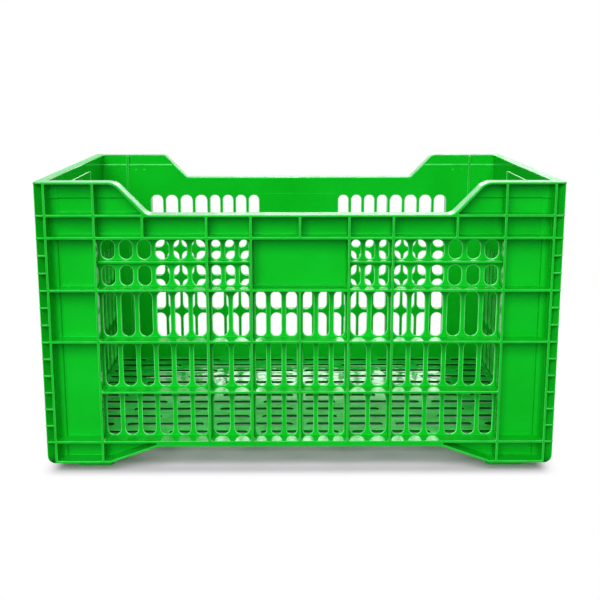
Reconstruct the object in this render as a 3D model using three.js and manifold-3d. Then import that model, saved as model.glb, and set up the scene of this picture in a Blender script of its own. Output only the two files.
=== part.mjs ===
// Plastic harvest crate: slotted walls in a grid of outside ribs, a rim that dips on the long walls,
// corner posts with rings, arched feet and stacking pads.
// Millimetres, +Z up. The origin is on the ground under the middle of the crate, the front faces -Y.
import * as THREE from 'three';
import { mergeVertices } from 'three/addons/utils/BufferGeometryUtils.js';
import Module from 'manifold-3d';

const wasm = await Module();
wasm.setup();

// Overall sizes
const crateLength = 540;
const crateWidth = 360;
const stackPitch = 300; // from the foot edges to the top of the rim
const padDrop = 12; // from the foot edges down to the ground under the stacking pads

// Wall section
const skin = 2.5;
const ribDepth = 19;
const ribThick = 2.4;
const rimThick = 3;
const ledgeDrop = 12; // from the top of the rim down to the inner ledge
const ledgeStep = 2; // how far the long walls are set back above the ledge
const ledgeLap = 6; // how far the set-back skin laps down outside the skin below the ledge
const sideSetBack = 10; // how far the short walls are set back above their panels
const seam = 0.3; // gap between neighbouring members
const cornerRadius = 3;
const cornerFacets = 1;

// Levels
const archRise = 18.5; // from the foot edges up to the bottom edge of the walls
const bottomRibLift = 5; // from the bottom edge of the walls up to the middle of the bottom rib
const even = null; // marks the rows that share what the other rows leave of the height
const frontRows = [even, even, even, 28, 26.8]; // row heights between ribs, upwards
const frontTopBand = 24; // from the top rib up to the dipped rim
const rearRows = [17.5, even, even, 38.6, 37, 38.5];
const rearTopBand = 21.8;
const sideRows = [even, even, even, even];
const sideSlottedRows = 3; // the row over these is plain
const sideTopBand = 57.3; // from the top rib up to the rim
const sidePanelLift = 2.8; // from the middle of the top side rib up to the top edge of the side panel

// Columns, from the outside of the crate or from the middle of the wall
const cornerRibInset = 10.4;
const frontCornerBay = 49.6;
const frontBays = [50.3, 45.2]; // bays between upright ribs, from the middle outward
const rearCornerBay = 61.3;
const rearBays = [60, 60];
const rearBlank = 51; // from the middle to the side of the unslotted field at the top of the rear wall
const sideCornerInset = 25;
const sideBay = 103; // from a corner rib to the nearest rib towards the middle
const dipRibOffset = 5.2; // from the foot of the dip's slope to the rib under it
const shallowRibDepth = 8;
const ridgeInset = 44; // from the outside of the crate to the upright ridges inside the rear wall
const ridgeWidth = 3.5;
const ridgeDepth = 2;

// Slots
const barWidth = 5.2;
const rearBarWidth = 4.1;
const slotMargin = 2.1; // from a rib's side to the nearest slot
const rearSlotMargin = 0.8;
const slotBelow = 0.9; // from a rib's top to the slots above it
const slotAbove = 3.4; // from the slots up to the rib over them
const wallSlot = 13.4;
const rearSlot = 14.5;
const sideSlot = 19;
const smallSlot = 9.4;
const centreSlot = 11;
const endCut = 0.586; // share of a slot's half width that its corners are cut by
const endPoint = 0.8; // share of a slot's half width that a plainer, pointed end takes up

// Rim dips of the long walls
const frontDip = { shoulder: 82.5, run: 32, depth: 33.3, topRadius: 18 }; // shoulder: from the outside
const rearDip = { shoulder: 93, run: 28.7, depth: 29.3, topRadius: 8 }; // to the top of the slope
const dipBottomRadius = 10;
const dipFacets = 3;

// Label plate on the front wall
const labelLift = 1.2;
const labelMargin = 1.5;

// Grips in the short walls
const gripLength = 126;
const gripDepth = 3; // how far the finger pocket reaches into the crate from the wall beside it
const gripWall = 2.5;

// Feet
const longFoot = 67; // flat foot along the long walls, from the outside of the crate
const longFootSlope = 53;
const shortFoot = 62;
const shortFootSlope = 40;

// Stacking pads
const padClearance = 3; // from the inner face of the walls
const padLength = 42;
const padWidth = 50;
const padWall = 3;
const padRadius = 6;
const padFacets = 1;

// Floor
const floorThick = 3;
const floorLift = 2; // from the bottom edge of the walls up to the underside of the floor
const floorRowPitch = 26.6;
const floorSlotWidth = 8.5;
const floorSlotLength = 86;
const floorBar = 14;
const floorMargin = 6;

// Corner posts
const ringsPerRow = 3;
const postGroove = 1; // depth of the grooves between the rings at the outer corner
const postRecess = 14; // depth of the grooves between the rings at the corner ribs
const ringThick = 2;

// Levels and places that follow from the sizes above
const halfLength = crateLength / 2;
const halfWidth = crateWidth / 2;
const footZ = padDrop;
const rimZ = footZ + stackPitch;
const archZ = footZ + archRise;
const ledgeZ = rimZ - ledgeDrop;
const rimUnder = rimZ - rimThick;
const floorZ = archZ + floorLift;
const bottomRibZ = archZ + bottomRibLift;
const skinOut = ribDepth; // outer face of the skin, inward from the outside of the crate
const skinIn = ribDepth + skin; // inner face of the skin, inward from the outside of the crate
const halfRib = ribThick / 2;

const plastic = new THREE.MeshStandardMaterial({ color: 0x12b52a, roughness: 0.32, metalness: 0 });

// Solid and geometry conversion
function toSolid(geometry) {
  const bare = geometry.clone();
  bare.deleteAttribute('normal');
  bare.deleteAttribute('uv');
  const merged = mergeVertices(bare, 1e-4);
  return new wasm.Manifold(new wasm.Mesh({
    numProp: 3,
    vertProperties: new Float32Array(merged.attributes.position.array),
    triVerts: new Uint32Array(merged.index.array),
  }));
}

function toGeometry(solid) {
  const mesh = solid.getMesh();
  const geometry = new THREE.BufferGeometry();
  geometry.setAttribute('position', new THREE.BufferAttribute(new Float32Array(mesh.vertProperties), 3));
  geometry.setIndex(new THREE.BufferAttribute(new Uint32Array(mesh.triVerts), 1));
  geometry.computeVertexNormals();
  return geometry;
}

function join(solids) {
  return solids.reduce((whole, solid) => whole.add(solid));
}

// Every wall is drawn as a front wall: u runs along the wall, v is the height, w is the distance
// outward from the crate's middle. A turn then takes it to its side of the crate.
function bar(u0, u1, v0, v1, w0, w1, turn = 0) {
  const box = new THREE.BoxGeometry(Math.abs(u1 - u0), Math.abs(w1 - w0), Math.abs(v1 - v0));
  box.translate((u0 + u1) / 2, -(w0 + w1) / 2, (v0 + v1) / 2);
  box.rotateZ(turn);
  return toSolid(box);
}

function block(x0, x1, y0, y1, z0, z1) {
  return bar(x0, x1, z0, z1, -y1, -y0);
}

function plate(points, holes, w0, w1, turn = 0) {
  const shape = new THREE.Shape(points);
  shape.holes = holes.map((hole) => new THREE.Path(hole));
  const sheet = new THREE.ExtrudeGeometry(shape, { depth: w1 - w0, bevelEnabled: false });
  sheet.rotateX(Math.PI / 2);
  sheet.translate(0, -w0, 0);
  sheet.rotateZ(turn);
  return toSolid(sheet);
}

function rectangle(u0, u1, v0, v1) {
  return [
    new THREE.Vector2(u0, v0),
    new THREE.Vector2(u1, v0),
    new THREE.Vector2(u1, v1),
    new THREE.Vector2(u0, v1),
  ];
}

// Prism with the crate's plan outline, for rounding what reaches the outer corners
function roundedPlan(halfX, halfY, radius, facets, z0, z1) {
  const shape = new THREE.Shape();
  const quarter = Math.PI / 2;
  [[1, 1], [-1, 1], [-1, -1], [1, -1]].forEach(([sx, sy], corner) => {
    for (let step = 0; step <= facets; step += 1) {
      const angle = (corner + step / facets) * quarter;
      const x = sx * (halfX - radius) + radius * Math.cos(angle);
      const y = sy * (halfY - radius) + radius * Math.sin(angle);
      if (corner === 0 && step === 0) shape.moveTo(x, y);
      else shape.lineTo(x, y);
    }
  });
  const prism = new THREE.ExtrudeGeometry(shape, { depth: z1 - z0, bevelEnabled: false });
  prism.translate(0, 0, z0);
  return toSolid(prism);
}

// Slot with pointed ends, upright in a wall
function pointedSlot(u0, u1, v0, v1) {
  const middle = (u0 + u1) / 2;
  const reach = endPoint * (u1 - u0) / 2;
  return [
    new THREE.Vector2(middle, v0),
    new THREE.Vector2(u1, v0 + reach),
    new THREE.Vector2(u1, v1 - reach),
    new THREE.Vector2(middle, v1),
    new THREE.Vector2(u0, v1 - reach),
    new THREE.Vector2(u0, v0 + reach),
  ];
}

// Slot with cut corners, upright in a wall
function cutSlot(u0, u1, v0, v1) {
  const cut = endCut * (u1 - u0) / 2;
  return [
    new THREE.Vector2(u0 + cut, v0),
    new THREE.Vector2(u1 - cut, v0),
    new THREE.Vector2(u1, v0 + cut),
    new THREE.Vector2(u1, v1 - cut),
    new THREE.Vector2(u1 - cut, v1),
    new THREE.Vector2(u0 + cut, v1),
    new THREE.Vector2(u0, v1 - cut),
    new THREE.Vector2(u0, v0 + cut),
  ];
}

// Even slots between two ribs; the count follows from the wanted slot width
function baySlots(u0, u1, v0, v1, wanted, style) {
  const start = u0 + halfRib + style.margin;
  const room = u1 - halfRib - style.margin - start;
  const count = Math.max(1, Math.round((room + style.bar) / (wanted + style.bar)));
  const slot = (room - (count - 1) * style.bar) / count;
  const paths = [];
  for (let index = 0; index < count; index += 1) {
    const left = start + index * (slot + style.bar);
    paths.push(style.path(left, left + slot, v0, v1));
  }
  return paths;
}

const frontStyle = { margin: slotMargin, bar: barWidth, path: cutSlot };
const rearStyle = { margin: rearSlotMargin, bar: rearBarWidth, path: pointedSlot };
const sideStyle = { margin: slotMargin, bar: barWidth, path: pointedSlot };

function bothSides(paths) {
  const mirrored = paths.map((path) => path.map((point) => new THREE.Vector2(-point.x, point.y)));
  return paths.concat(mirrored);
}

// Rib levels upwards from the bottom rib
function ribLevels(rows, top) {
  const fixed = rows.reduce((sum, height) => sum + (height === even ? 0 : height), 0);
  const share = (top - bottomRibZ - fixed) / rows.filter((height) => height === even).length;
  const levels = [bottomRibZ];
  rows.forEach((height) => levels.push(levels[levels.length - 1] + (height === even ? share : height)));
  return levels;
}

// Polyline with its inner corners rounded off
function roundedLine(points, radii, facets) {
  const line = [points[0]];
  for (let index = 1; index < points.length - 1; index += 1) {
    const corner = points[index];
    const before = points[index - 1].clone().sub(corner).normalize();
    const after = points[index + 1].clone().sub(corner).normalize();
    const half = Math.acos(before.dot(after)) / 2;
    const radius = radii[index - 1];
    const reach = radius / Math.tan(half);
    const start = corner.clone().addScaledVector(before, reach);
    const middle = before.clone().add(after).normalize();
    const centre = corner.clone().addScaledVector(middle, radius / Math.sin(half));
    const from = start.clone().sub(centre);
    const turn = Math.sign(from.cross(after)) * (Math.PI - 2 * half);
    for (let step = 0; step <= facets; step += 1) {
      line.push(from.clone().rotateAround(new THREE.Vector2(), turn * step / facets).add(centre));
    }
  }
  line.push(points[points.length - 1]);
  return line;
}

// Line of the rim on one half of a long wall, dropped square to itself by some depth
function rimLine(dip, drop, outerEnd, innerEnd) {
  const bend = drop * Math.tan(Math.atan2(dip.depth, dip.run) / 2);
  const slopeTop = halfLength - dip.shoulder;
  const corners = [
    new THREE.Vector2(outerEnd, rimZ - drop),
    new THREE.Vector2(slopeTop + bend, rimZ - drop),
    new THREE.Vector2(slopeTop - dip.run + bend, rimZ - dip.depth - drop),
    new THREE.Vector2(innerEnd, rimZ - dip.depth - drop),
  ];
  return roundedLine(corners, [dip.topRadius - drop, dipBottomRadius + drop], dipFacets);
}

// Scene
const crate = new THREE.Group();

function addTo(parent, name, solid) {
  const mesh = new THREE.Mesh(toGeometry(solid), plastic);
  mesh.name = name;
  parent.add(mesh);
}

function turnedGroup(turn) {
  const group = new THREE.Group();
  group.rotation.z = turn;
  crate.add(group);
  return group;
}

// Long walls
function longWall(spec) {
  const group = turnedGroup(spec.turn);
  const outside = halfWidth;
  const skinOuter = outside - skinOut;
  const skinInner = outside - skinIn;
  const end = halfLength - postGroove;
  const cornerRib = halfLength - cornerRibInset;
  const cornerBayRib = cornerRib - spec.cornerBay;
  const bayRibs = [];
  spec.bays.reduce((reach, bay) => {
    bayRibs.push(reach + bay);
    return reach + bay;
  }, 0);
  const centreRib = bayRibs[0];
  const blankEdge = spec.blank ?? centreRib;
  const dipZ = rimZ - spec.dip.depth;
  const dipFoot = halfLength - spec.dip.shoulder - spec.dip.run;
  const topLevel = dipZ - spec.topBand;
  const levels = ribLevels(spec.rows, topLevel);
  const labelFoot = levels[levels.length - 1 - spec.labelRows];
  const panelTop = dipZ - rimThick - seam;
  const plan = roundedPlan(halfLength, halfWidth, cornerRadius, cornerFacets, 0, rimZ);

  // Slotted skin
  const slots = [];
  spec.rows.forEach((height, row) => {
    if (row < spec.blankRows) return;
    const v0 = levels[row] + halfRib + slotBelow;
    const v1 = levels[row + 1] - halfRib - slotAbove;
    const labelled = row >= spec.rows.length - spec.labelRows;
    if (!labelled) slots.push(...baySlots(0, centreRib, v0, v1, spec.centreSlot, spec.style));
    bayRibs.forEach((rib, index) => {
      const near = labelled && index === 0 ? blankEdge : rib;
      const far = index + 1 < bayRibs.length ? bayRibs[index + 1] : cornerBayRib;
      const wanted = labelled && index === 0 ? spec.labelSideSlot : spec.slot;
      slots.push(...baySlots(near, far, v0, v1, wanted, spec.style));
    });
  });
  const panel = plate(rectangle(-end, end, archZ, panelTop), bothSides(slots), skinInner, skinOuter);
  const ridgeAt = halfLength - ridgeInset;
  const ridge = (side, v0, v1) => bar(
    side * ridgeAt - ridgeWidth / 2, side * ridgeAt + ridgeWidth / 2,
    v0, v1,
    skinInner - ridgeDepth, skinInner + skin,
  );
  const ridged = [panel];
  if (spec.ridges) {
    ridged.push(ridge(-1, levels[1], panelTop), ridge(1, levels[1], panelTop));
  }
  addTo(group, `${spec.name}_panel`, join(ridged));

  // Grid of ribs outside the skin, on a thick bottom band over the arch
  const ribBase = skinOuter + seam;
  const ribs = [];
  const upright = (u, v0, v1) => ribs.push(bar(u - halfRib, u + halfRib, v0, v1, ribBase, outside));
  const level = (v, u0, u1, w1) => ribs.push(bar(u0, u1, v - halfRib, v + halfRib, ribBase, w1));
  const archEnd = halfLength - longFoot - longFootSlope;
  ribs.push(bar(-archEnd, archEnd, archZ, bottomRibZ, ribBase, outside));
  levels.forEach((v, index) => {
    if (spec.shallowRibs.includes(index)) {
      [-1, 1].forEach((side) => level(v, side * centreRib, side * cornerBayRib, ribBase + shallowRibDepth));
      return;
    }
    const reach = spec.shortRibs.includes(index) ? cornerBayRib : cornerRib;
    level(v, -reach, reach, outside);
  });
  [-1, 1].forEach((side) => {
    upright(side * cornerRib, archZ, panelTop);
    upright(side * cornerBayRib, archZ, panelTop);
    bayRibs.forEach((u, index) => upright(side * u, bottomRibZ, index === 0 ? labelFoot : panelTop));
    upright(side * blankEdge, labelFoot, panelTop);
    upright(side * (dipFoot + dipRibOffset), topLevel, panelTop);
  });
  upright(0, bottomRibZ, labelFoot);
  upright(0, topLevel, panelTop);
  addTo(group, `${spec.name}_rib_grid`, join(ribs));

  // Raised shoulders beside the dip, each with its stepped skin and ribs, and the rim over them
  const dipEnd = dipFoot - dipBottomRadius;
  [['left', -spec.rightward], ['right', spec.rightward]].forEach(([sideName, side]) => {
    const place = (points) => points.map((point) => new THREE.Vector2(side * point.x, point.y));
    const under = rimLine(spec.dip, rimThick + seam, end, dipEnd);
    const shoulderFoot = panelTop + seam;
    const outline = under.filter((point) => point.y > shoulderFoot);
    const last = outline[outline.length - 1];
    outline.push(new THREE.Vector2(last.x, shoulderFoot), new THREE.Vector2(end, shoulderFoot));
    const below = bar(-halfLength, halfLength, shoulderFoot, ledgeZ, skinInner, outside);
    const above = bar(-halfLength, halfLength, ledgeZ, rimUnder, skinInner + ledgeStep, outside);
    const whole = plate(place(outline), [], skinInner, outside).intersect(below.add(above));
    const lower = bar(-halfLength, halfLength, shoulderFoot, ledgeZ, skinInner, skinOuter);
    const upperEnd = cornerRib + halfRib;
    const setBack = skinInner + ledgeStep;
    const upper = bar(-upperEnd, upperEnd, ledgeZ - ledgeLap, rimUnder, setBack, setBack + skin);
    const frame = [lower, upper];
    const rooted = skinOuter - skin;
    [cornerRib, cornerBayRib].forEach((u) => {
      frame.push(bar(side * u - halfRib, side * u + halfRib, shoulderFoot, rimUnder, rooted, outside));
    });
    frame.push(bar(-cornerRib, cornerRib, shoulderFoot, shoulderFoot + ribThick, rooted, outside));
    const shoulder = [whole.intersect(join(frame))];
    if (spec.ridges) {
      shoulder.push(ridge(side, shoulderFoot, rimUnder - seam));
    }
    addTo(group, `${spec.name}_${sideName}_shoulder`, join(shoulder));

    const top = rimLine(spec.dip, 0, halfLength, dipEnd);
    const bottom = rimLine(spec.dip, rimThick, halfLength, dipEnd).reverse();
    const band = plate(place(top.concat(bottom)), [], skinInner + ledgeStep, outside);
    addTo(group, `${spec.name}_${sideName}_rim`, band.intersect(plan));
  });
  const dipRim = bar(-dipEnd + seam, dipEnd - seam, dipZ - rimThick, dipZ, skinInner, outside);
  addTo(group, `${spec.name}_dip_rim`, dipRim);

  // Bare plate for a label between the middle ribs
  if (spec.labelPlate) {
    const reach = centreRib - halfRib - labelMargin;
    const low = labelFoot + halfRib + labelMargin;
    const high = topLevel - halfRib - labelMargin;
    addTo(group, `${spec.name}_label_plate`, bar(-reach, reach, low, high, ribBase, ribBase + labelLift));
  }
}

longWall({
  name: 'front',
  turn: 0,
  rightward: 1, // the direction along the wall that leads to the crate's right
  rows: frontRows,
  topBand: frontTopBand,
  blankRows: 0,
  labelRows: 2,
  shallowRibs: [4],
  shortRibs: [1],
  cornerBay: frontCornerBay,
  bays: frontBays,
  slot: wallSlot,
  centreSlot,
  labelSideSlot: smallSlot,
  dip: frontDip,
  style: frontStyle,
  labelPlate: true,
  ridges: false,
});
longWall({
  name: 'rear',
  turn: Math.PI,
  rightward: -1,
  rows: rearRows,
  topBand: rearTopBand,
  blankRows: 1,
  labelRows: 2,
  shallowRibs: [],
  shortRibs: [2],
  cornerBay: rearCornerBay,
  bays: rearBays,
  blank: rearBlank,
  slot: rearSlot,
  centreSlot: rearSlot,
  labelSideSlot: rearSlot,
  dip: rearDip,
  style: rearStyle,
  labelPlate: false,
  ridges: true,
});

// Short walls
function shortWall(name, turn) {
  const group = turnedGroup(turn);
  const outside = halfLength;
  const skinOuter = outside - skinOut;
  const skinInner = outside - skinIn;
  const end = halfWidth - skinIn - seam;
  const cornerRib = halfWidth - sideCornerInset;
  const bayRib = cornerRib - sideBay;
  const topLevel = rimZ - sideTopBand;
  const levels = ribLevels(sideRows, topLevel);
  const panelTop = topLevel + sidePanelLift;

  const slots = [];
  sideRows.slice(0, sideSlottedRows).forEach((height, row) => {
    const v0 = levels[row] + halfRib + slotBelow;
    const v1 = levels[row + 1] - halfRib - slotAbove;
    slots.push(...bothSides(baySlots(bayRib, cornerRib, v0, v1, sideSlot, sideStyle)));
    slots.push(...baySlots(-bayRib, bayRib, v0, v1, sideSlot, sideStyle));
  });
  const panel = plate(rectangle(-end, end, archZ, panelTop), slots, skinInner, skinOuter);
  addTo(group, `${name}_panel`, panel);

  const ribBase = skinOuter + seam;
  const archEnd = halfWidth - shortFoot - shortFootSlope;
  const ribs = [bar(-archEnd, archEnd, archZ, bottomRibZ, ribBase, outside)];
  levels.forEach((v) => ribs.push(bar(-end, end, v - halfRib, v + halfRib, ribBase, outside)));
  [-cornerRib, -bayRib, bayRib, cornerRib].forEach((u) => {
    const foot = Math.abs(u) === cornerRib ? archZ : bottomRibZ;
    ribs.push(bar(u - halfRib, u + halfRib, foot, topLevel, ribBase, outside));
  });
  addTo(group, `${name}_rib_grid`, join(ribs));

  // Shoulders beside the grip, set back behind a ledge on top of the panel
  const shoulderFoot = panelTop + seam;
  const shoulderTop = rimUnder - seam;
  const gripEnd = gripLength / 2;
  const setBack = skinInner + sideSetBack;
  const setBackOuter = setBack + skin;
  const rimEnd = halfWidth - skinIn + ledgeStep - seam;
  [['front', -1], ['rear', 1]].forEach(([sideName, side]) => {
    const near = name === 'left' ? -side : side;
    const u0 = near * (gripEnd + seam);
    const u1 = near * end;
    const rib = near * cornerRib;
    addTo(group, `${name}_${sideName}_shoulder`, join([
      bar(u0, u1, shoulderFoot, shoulderFoot + skin, skinInner, setBackOuter),
      bar(u0, u1, shoulderFoot, shoulderTop, setBack, setBackOuter),
      bar(u0, near * rimEnd, ledgeZ, shoulderTop, setBack, setBackOuter),
      bar(rib - halfRib, rib + halfRib, shoulderFoot, shoulderTop, setBack, outside),
      bar(u0, u0 + near * ribThick, shoulderFoot, shoulderTop, setBack, outside),
    ]));
  });

  // Finger pocket, pressed into the crate under the rim
  const pocketInner = setBack - gripDepth;
  const body = join([
    bar(-gripEnd, gripEnd, shoulderFoot, shoulderFoot + gripWall, skinInner, setBackOuter),
    bar(-gripEnd, gripEnd, shoulderFoot, ledgeZ, pocketInner, setBackOuter),
    bar(-gripEnd, gripEnd, ledgeZ - gripWall, shoulderTop, setBack, setBackOuter),
  ]);
  const hollow = bar(
    -gripEnd + gripWall, gripEnd - gripWall,
    shoulderFoot + gripWall, ledgeZ - gripWall,
    pocketInner + gripWall, outside,
  );
  addTo(group, `${name}_grip`, body.subtract(hollow));
  addTo(group, `${name}_rim`, bar(-rimEnd, rimEnd, rimUnder, rimZ, setBack, outside));
}

shortWall('right', Math.PI / 2);
shortWall('left', -Math.PI / 2);

// Corner posts: a slanted upright with rings, between the long walls' corner ribs and the outer corner
const postTop = rimZ - frontDip.depth - frontTopBand; // the highest of the evenly spaced rings
const postLevels = ribLevels(frontRows, postTop);
const ringPitch = (postLevels[1] - postLevels[0]) / ringsPerRow;
function cornerPost(name, sx, sy) {
  const innerX = halfLength - cornerRibInset + halfRib + seam;
  const innerY = halfWidth - skinOut + seam;
  const bottom = archZ + seam;
  const top = rimUnder - seam;
  const plan = new THREE.Shape([
    new THREE.Vector2(sx * innerX, sy * innerY),
    new THREE.Vector2(sx * (halfLength - postGroove), sy * innerY),
    new THREE.Vector2(sx * (halfLength - postGroove), sy * (halfWidth - postGroove)),
    new THREE.Vector2(sx * innerX, sy * (halfWidth - postRecess)),
  ]);
  const core = new THREE.ExtrudeGeometry(plan, { depth: top - bottom, bevelEnabled: false });
  core.translate(0, 0, bottom);
  const full = roundedPlan(halfLength, halfWidth, cornerRadius, cornerFacets, bottom, top);
  const ring = (z) => block(
    sx * (innerX + seam), sx * halfLength,
    sy * (innerY + seam), sy * halfWidth,
    z - ringThick / 2, z + ringThick / 2,
  );
  const rings = [ring(rimZ - frontDip.depth - rimThick + halfRib)];
  for (let z = postLevels[0]; z < postTop + ringPitch / 2; z += ringPitch) {
    rings.push(ring(z));
  }
  const solid = toSolid(core).add(full.intersect(join(rings)));
  addTo(crate, name, solid);
}

// One side of a foot, drawn as a front wall: its skin, and the flange along its lower edge
function footSide(outside, reach, flat, slope, skinEnd, side, turn) {
  const skinOuter = outside - skinOut;
  const skinInner = outside - skinIn;
  const top = archZ - seam;
  const flatEnd = reach - flat;
  const slopeEnd = flatEnd - slope * (top - footZ) / archRise;
  const lean = Math.hypot(slope, archRise) / archRise;
  const across = (points) => points.map(([u, v]) => new THREE.Vector2(side * u, v));
  const face = across([[skinEnd, footZ], [flatEnd, footZ], [slopeEnd, top], [skinEnd, top]]);
  const flange = across([
    [reach, footZ],
    [flatEnd, footZ],
    [slopeEnd, top],
    [slopeEnd + ribThick * lean, top],
    [flatEnd + ribThick * (lean - slope / archRise), footZ + ribThick],
    [reach, footZ + ribThick],
  ]);
  return plate(face, [], skinInner, skinOuter, turn).add(plate(flange, [], skinInner, outside, turn));
}

// Feet: an angle of skin under both walls at a corner, edged by flanges that slope up to the arches
function foot(name, sx, sy) {
  const group = turnedGroup(sy < 0 ? 0 : Math.PI);
  const side = sy < 0 ? sx : -sx;
  const top = archZ - seam;
  const wallInner = halfWidth - skinIn;
  const outerRib = side * (halfLength - cornerRibInset);
  const innerRib = outerRib - side * frontCornerBay;
  const longEnd = halfLength - postGroove;
  const shortEnd = halfWidth - skinOut;
  const solid = join([
    footSide(halfWidth, halfLength, longFoot, longFootSlope, longEnd, side, 0),
    footSide(halfLength, halfWidth, shortFoot, shortFootSlope, shortEnd, -side, side * Math.PI / 2),
    bar(innerRib - halfRib, innerRib + halfRib, footZ, top, wallInner, halfWidth),
    bar(outerRib - side * halfRib, side * halfLength, footZ, top, wallInner, halfWidth),
  ]);
  const plan = roundedPlan(halfLength, halfWidth, cornerRadius, cornerFacets, footZ, top);
  addTo(group, name, solid.intersect(plan));
}

// Stacking pads: cups under the floor that drop inside the rim of the crate below
function stackingPad(name, sx, sy) {
  const group = new THREE.Group();
  group.position.set(
    sx * (halfLength - skinIn - padClearance - padLength / 2),
    sy * (halfWidth - skinIn - padClearance - padWidth / 2),
    0,
  );
  crate.add(group);
  const top = floorZ - seam;
  const halfX = padLength / 2;
  const halfY = padWidth / 2;
  const bore = padRadius - padWall;
  const outer = roundedPlan(halfX, halfY, padRadius, padFacets, 0, top);
  const inner = roundedPlan(halfX - padWall, halfY - padWall, bore, padFacets, padWall, top + padWall);
  addTo(group, name, outer.subtract(inner));
}

[['front', -1], ['rear', 1]].forEach(([depthName, sy]) => {
  [['left', -1], ['right', 1]].forEach(([sideName, sx]) => {
    cornerPost(`${depthName}_${sideName}_corner_post`, sx, sy);
    foot(`${depthName}_${sideName}_foot`, sx, sy);
    stackingPad(`${depthName}_${sideName}_stacking_pad`, sx, sy);
  });
});

// Floor: rows of slots along the crate, staggered from row to row
function floorGrid() {
  const halfX = halfLength - skinIn - seam;
  const halfY = halfWidth - skinIn - seam;
  const top = floorZ + floorThick;
  const rows = Math.floor((2 * halfY - 2 * floorMargin + floorRowPitch - floorSlotWidth) / floorRowPitch);
  const pitch = floorSlotLength + floorBar;
  const most = Math.ceil(halfX / pitch);
  const halfSlot = floorSlotWidth / 2;
  const slots = [];
  for (let row = 0; row < rows; row += 1) {
    const y = (row - (rows - 1) / 2) * floorRowPitch;
    const shift = row % 2 === 0 ? 0 : pitch / 2;
    for (let column = -most; column <= most; column += 1) {
      const middle = column * pitch + shift;
      const left = Math.max(middle - floorSlotLength / 2, -halfX + floorMargin);
      const right = Math.min(middle + floorSlotLength / 2, halfX - floorMargin);
      if (right - left > floorSlotWidth) {
        slots.push(block(left, right, y - halfSlot, y + halfSlot, floorZ - floorThick, top + floorThick));
      }
    }
  }
  const sheet = block(-halfX, halfX, -halfY, halfY, floorZ, top);
  addTo(crate, 'floor_grid', sheet.subtract(join(slots)));
}
floorGrid();

export default crate;
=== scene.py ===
import math

import bpy
from mathutils import Euler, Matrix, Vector, geometry


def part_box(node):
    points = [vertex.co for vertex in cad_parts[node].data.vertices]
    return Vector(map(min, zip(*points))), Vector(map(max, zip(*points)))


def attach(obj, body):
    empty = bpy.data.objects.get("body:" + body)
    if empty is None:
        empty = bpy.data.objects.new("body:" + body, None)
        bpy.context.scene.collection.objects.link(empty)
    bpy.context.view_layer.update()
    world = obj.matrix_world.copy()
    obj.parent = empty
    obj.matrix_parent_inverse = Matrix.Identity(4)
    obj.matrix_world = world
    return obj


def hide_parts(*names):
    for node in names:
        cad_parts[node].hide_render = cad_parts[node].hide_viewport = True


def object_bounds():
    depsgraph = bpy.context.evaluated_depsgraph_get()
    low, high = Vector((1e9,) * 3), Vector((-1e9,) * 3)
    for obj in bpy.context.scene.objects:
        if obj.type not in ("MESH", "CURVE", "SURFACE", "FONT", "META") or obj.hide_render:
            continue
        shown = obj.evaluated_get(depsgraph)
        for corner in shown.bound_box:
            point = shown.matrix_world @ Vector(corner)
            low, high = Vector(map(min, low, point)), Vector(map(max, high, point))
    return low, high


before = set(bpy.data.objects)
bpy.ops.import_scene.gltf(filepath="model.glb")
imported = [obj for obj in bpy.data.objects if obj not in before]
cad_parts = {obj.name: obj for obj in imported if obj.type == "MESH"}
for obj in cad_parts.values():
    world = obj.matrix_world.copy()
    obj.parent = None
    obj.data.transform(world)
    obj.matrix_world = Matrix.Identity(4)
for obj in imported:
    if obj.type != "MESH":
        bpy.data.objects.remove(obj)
cad_low, cad_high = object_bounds()

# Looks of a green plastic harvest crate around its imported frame.
# Sizes here are in millimetres, and meshes are made in metres.
MM = 0.001
EVEN = None  # marks the rows that share what the other rows leave of the height
INSIDE_WITH_HOLES = 2  # kind of filling that leaves the holes of an outline open
FILL_TOLERANCE = 1e-6
ALONG = 0.5  # a face runs along an axis where its normal has less than this along it


def node_box(node):
    low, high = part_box(node)
    return low / MM, high / MM


# Planes and levels of the frame
half_length = cad_high.x / MM
half_width = cad_high.y / MM
rim_top = cad_high.z / MM
panel_low, panel_high = node_box("front_panel")
rib_depth = half_width + panel_low.y
skin = panel_high.y - panel_low.y
skin_in = rib_depth + skin
arch_level = panel_low.z
foot_level = node_box("front_left_foot")[0].z
front_dip_low, front_dip_high = node_box("front_dip_rim")
rear_dip_high = node_box("rear_dip_rim")[1]
lip_share = 0.75  # how much of the solid rim's thickness is drawn
rim_thick = lip_share * (front_dip_high.z - front_dip_low.z)
floor_low, floor_high = node_box("floor_grid")
label_low, label_high = node_box("front_label_plate")
grip_end = node_box("right_grip")[1].y
side_panel_top = node_box("right_panel")[1].z

# Wall section
rib_thick = 2.4
half_rib = rib_thick / 2
ledge_drop = 12
ledge_step = 2
ledge_lap = 6
side_set_back = 10
ledge_level = rim_top - ledge_drop
rim_under = rim_top - rim_thick
rim_width = skin_in - ledge_step
side_rim_width = skin_in - side_set_back
tuck = 1.5  # how far sheets reach into each other
rim_tuck = 0.8  # how far sheets and ribs reach into the rim
rib_tuck = 0.3  # how far ribs reach into the skin
lap = 1  # how far small forms reach into what carries them, and keep off a slope
bottom_rib_rise = 5
bottom_rib = arch_level + bottom_rib_rise
corner_radius = 3
rim_inner_radius = 5

# Columns and feet
corner_rib_inset = 10.4
corner_rib = half_length - corner_rib_inset
side_corner_rib_inset = 25
side_corner_rib = half_width - side_corner_rib_inset
side_corner_bay = 103
side_bay_rib = side_corner_rib - side_corner_bay
dip_rib_offset = 5.2
long_foot = 67
long_foot_slope = 53
short_foot = 62
short_foot_slope = 40
foot_bend = 4  # radius where a foot's slope begins and ends
shallow_depth = 8

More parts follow.
